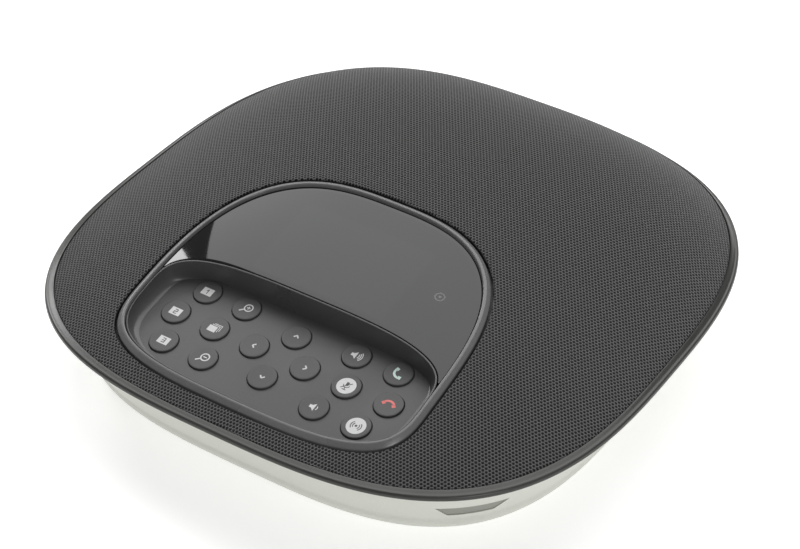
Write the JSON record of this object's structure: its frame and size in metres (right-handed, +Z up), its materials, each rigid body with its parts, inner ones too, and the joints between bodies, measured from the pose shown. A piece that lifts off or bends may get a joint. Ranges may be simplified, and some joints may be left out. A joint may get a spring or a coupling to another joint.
{
  "type": "conference speakerphone",
  "caption": "Square-round table speakerphone: domed mesh top, tapered light base, recessed keypad and gloss display lens at the front.",
  "frame": {"origin": "middle of the body, on the table under the feet", "axes": "+Z up, -Y towards the user, where the keypad is, +X to the user's right"},
  "size_m": [0.24, 0.24, 0.0649],
  "materials": {
    "base_plastic": "warm light grey, fine satin",
    "dark_plastic": "textured dark grey",
    "black_plastic": "plain black",
    "foot_rubber": "soft black",
    "screw_steel": "zinc plated",
    "rim_plastic": "satin dark grey",
    "cloth": "fine six-fold knitted mesh",
    "bezel_plastic": "satin grey",
    "foam": "closed cell foam",
    "lens_plastic": "gloss black, hard coated",
    "display_glass": "display, switched off",
    "sheet_steel": "bare sheet",
    "console_plastic": "fine matte dark grey",
    "key_plastic": "fine matte dark grey, printed symbol",
    "membrane_rubber": "silicone",
    "circuit_board": "green solder mask",
    "ribbon_film": "polyimide film",
    "basket_steel": "black paint",
    "plated_steel": "nickel plated",
    "ferrite": "bare ferrite, sintered",
    "copper_wire": "enamelled copper",
    "cone_paper": "pressed pulp",
    "spider_cloth": "resin-stiffened weave",
    "lead_sleeve": "insulated wire",
    "window_plastic": "satin grey"
  },
  "bodies": {
    "root": {"base_shell": "base_plastic", "bottom_cover": "dark_plastic", "rubber_feet": "foot_rubber", "case_screws": "screw_steel", "rim_ring": "rim_plastic", "grille_frame": "black_plastic", "speaker_cloth": "cloth", "console_frame": "black_plastic", "console_bezel": "bezel_plastic", "lens_gasket": "foam", "display_lens": "lens_plastic", "display_module": "display_glass", "display_bracket": "sheet_steel", "keypad_surround": "console_plastic", "keypad_deck": "console_plastic", "keypad_membrane": "membrane_rubber", "dome_switches": "sheet_steel", "keypad_board": "circuit_board", "keypad_retainer": "sheet_steel", "small_screws": "screw_steel", "main_board": "circuit_board", "display_ribbon": "ribbon_film", "keypad_ribbon": "ribbon_film", "speaker_enclosure": "black_plastic", "speaker_gasket": "foam", "speaker_basket": "basket_steel", "speaker_top_plate": "plated_steel", "speaker_magnet": "ferrite", "speaker_yoke": "plated_steel", "speaker_surround": "membrane_rubber", "speaker_spider": "spider_cloth", "driver_screws": "screw_steel", "speaker_lead": "lead_sleeve", "mic_windows": "window_plastic", "microphones": "circuit_board", "connector_housing": "black_plastic", "bay_lining": "black_plastic", "hub_socket": "plated_steel", "jack_sockets": "plated_steel", "socket_board": "circuit_board"},
    "cone": {"speaker_cone": "cone_paper", "dust_cap": "cone_paper", "voice_coil": "copper_wire"},
    "key_preset_1": {"key_preset_1": "key_plastic"},
    "key_zoom_in": {"key_zoom_in": "key_plastic"},
    "key_volume_up": {"key_volume_up": "key_plastic"},
    "key_answer": {"key_answer": "key_plastic"},
    "key_preset_2": {"key_preset_2": "key_plastic"},
    "key_layout": {"key_layout": "key_plastic"},
    "key_left": {"key_left": "key_plastic"},
    "key_right": {"key_right": "key_plastic"},
    "key_mute": {"key_mute": "key_plastic"},
    "key_hang_up": {"key_hang_up": "key_plastic"},
    "key_preset_3": {"key_preset_3": "key_plastic"},
    "key_zoom_out": {"key_zoom_out": "key_plastic"},
    "key_volume_down": {"key_volume_down": "key_plastic"},
    "key_pairing": {"key_pairing": "key_plastic"},
    "key_up": {"key_up": "key_plastic"},
    "key_down": {"key_down": "key_plastic"}
  },
  "joints": [
    {"name": "key_preset_1_press", "type": "slide", "parent": "root", "child": "key_preset_1", "axis": [0, 0.1685, -0.9857], "range_m": [0, 0.0006], "stiffness_N_per_m": 400},
    {"name": "key_zoom_in_press", "type": "slide", "parent": "root", "child": "key_zoom_in", "axis": [0, 0.1685, -0.9857], "range_m": [0, 0.0006], "stiffness_N_per_m": 400},
    {"name": "key_volume_up_press", "type": "slide", "parent": "root", "child": "key_volume_up", "axis": [0, 0.1685, -0.9857], "range_m": [0, 0.0006], "stiffness_N_per_m": 400},
    {"name": "key_answer_press", "type": "slide", "parent": "root", "child": "key_answer", "axis": [0, 0.1685, -0.9857], "range_m": [0, 0.0006], "stiffness_N_per_m": 400},
    {"name": "key_preset_2_press", "type": "slide", "parent": "root", "child": "key_preset_2", "axis": [0, 0.1685, -0.9857], "range_m": [0, 0.0006], "stiffness_N_per_m": 400},
    {"name": "key_layout_press", "type": "slide", "parent": "root", "child": "key_layout", "axis": [0, 0.1685, -0.9857], "range_m": [0, 0.0006], "stiffness_N_per_m": 400},
    {"name": "key_left_press", "type": "slide", "parent": "root", "child": "key_left", "axis": [0, 0.1685, -0.9857], "range_m": [0, 0.0006], "stiffness_N_per_m": 400},
    {"name": "key_right_press", "type": "slide", "parent": "root", "child": "key_right", "axis": [0, 0.1685, -0.9857], "range_m": [0, 0.0006], "stiffness_N_per_m": 400},
    {"name": "key_mute_press", "type": "slide", "parent": "root", "child": "key_mute", "axis": [0, 0.1685, -0.9857], "range_m": [0, 0.0006], "stiffness_N_per_m": 400},
    {"name": "key_hang_up_press", "type": "slide", "parent": "root", "child": "key_hang_up", "axis": [0, 0.1685, -0.9857], "range_m": [0, 0.0006], "stiffness_N_per_m": 400},
    {"name": "key_preset_3_press", "type": "slide", "parent": "root", "child": "key_preset_3", "axis": [0, 0.1685, -0.9857], "range_m": [0, 0.0006], "stiffness_N_per_m": 400},
    {"name": "key_zoom_out_press", "type": "slide", "parent": "root", "child": "key_zoom_out", "axis": [0, 0.1685, -0.9857], "range_m": [0, 0.0006], "stiffness_N_per_m": 400},
    {"name": "key_volume_down_press", "type": "slide", "parent": "root", "child": "key_volume_down", "axis": [0, 0.1685, -0.9857], "range_m": [0, 0.0006], "stiffness_N_per_m": 400},
    {"name": "key_pairing_press", "type": "slide", "parent": "root", "child": "key_pairing", "axis": [0, 0.1685, -0.9857], "range_m": [0, 0.0006], "stiffness_N_per_m": 400},
    {"name": "key_up_press", "type": "slide", "parent": "root", "child": "key_up", "axis": [0, 0.1685, -0.9857], "range_m": [0, 0.0006], "stiffness_N_per_m": 400},
    {"name": "key_down_press", "type": "slide", "parent": "root", "child": "key_down", "axis": [0, 0.1685, -0.9857], "range_m": [0, 0.0006], "stiffness_N_per_m": 400},
    {"name": "cone_travel", "type": "slide", "parent": "root", "child": "cone", "axis": [0, 0, 1], "range_m": [-0.002, 0.002], "stiffness_N_per_m": 1500, "deforming": ["speaker_surround", "speaker_spider"]}
  ]
}
